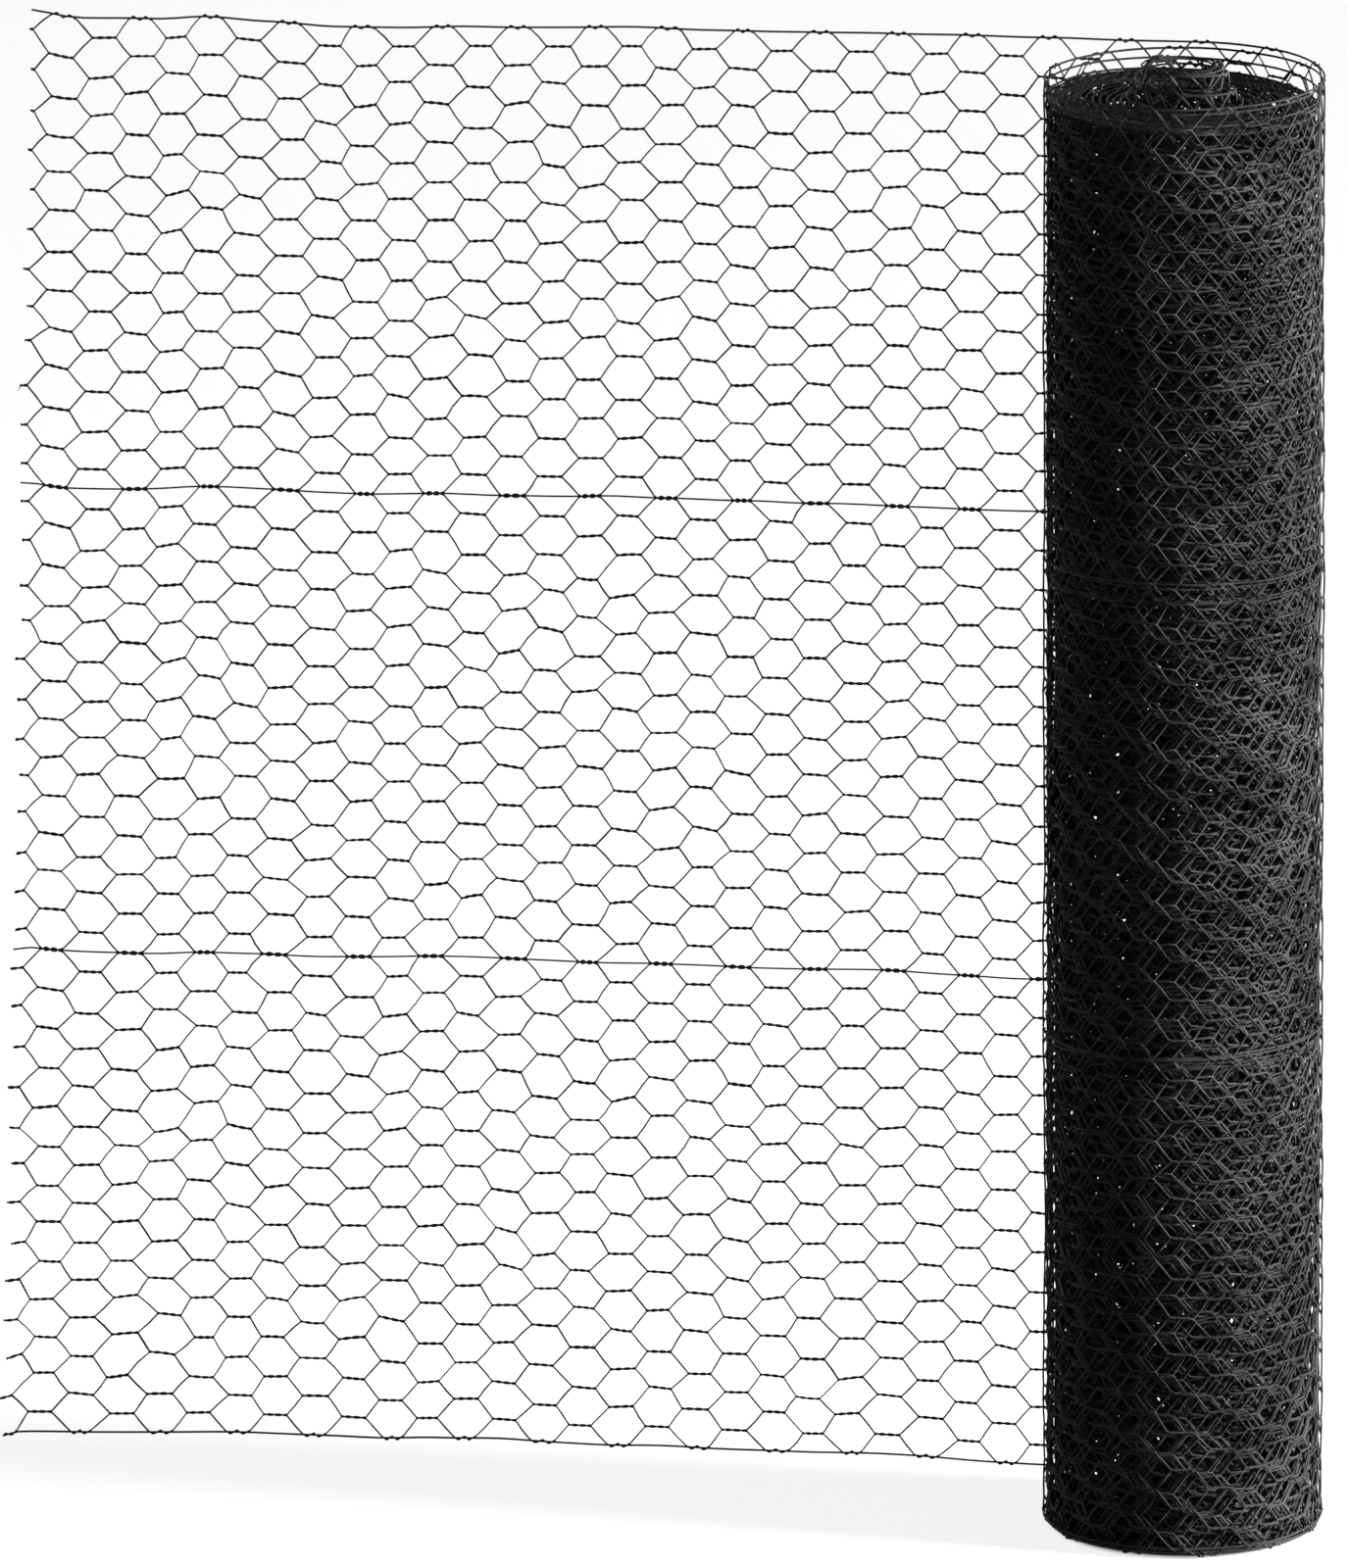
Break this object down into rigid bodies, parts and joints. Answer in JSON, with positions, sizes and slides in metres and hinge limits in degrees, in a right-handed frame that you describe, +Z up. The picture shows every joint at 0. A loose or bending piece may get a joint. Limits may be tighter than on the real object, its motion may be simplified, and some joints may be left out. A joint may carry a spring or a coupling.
{
  "type": "roll of chicken wire",
  "caption": "Roll of black hexagonal wire netting standing on its end, with a stretch of netting paid out from its back.",
  "frame": {"origin": "on the roll's axis, at the end that it stands on", "axes": "+Z up along the roll's axis; the netting leaves the roll's back at X = 0 on the +Y side and runs along -X"},
  "size_m": [0.8308, 0.1728, 0.927],
  "materials": {
    "coated_wire": "satin black plastic coating over galvanised steel wire"
  },
  "bodies": {
    "root": {"netting_roll": "coated_wire", "mesh_lower": "coated_wire", "mesh_middle": "coated_wire", "mesh_upper": "coated_wire", "selvedge_lower": "coated_wire", "selvedge_upper": "coated_wire", "line_wire_lower": "coated_wire", "line_wire_upper": "coated_wire"}
  },
  "joints": []
}
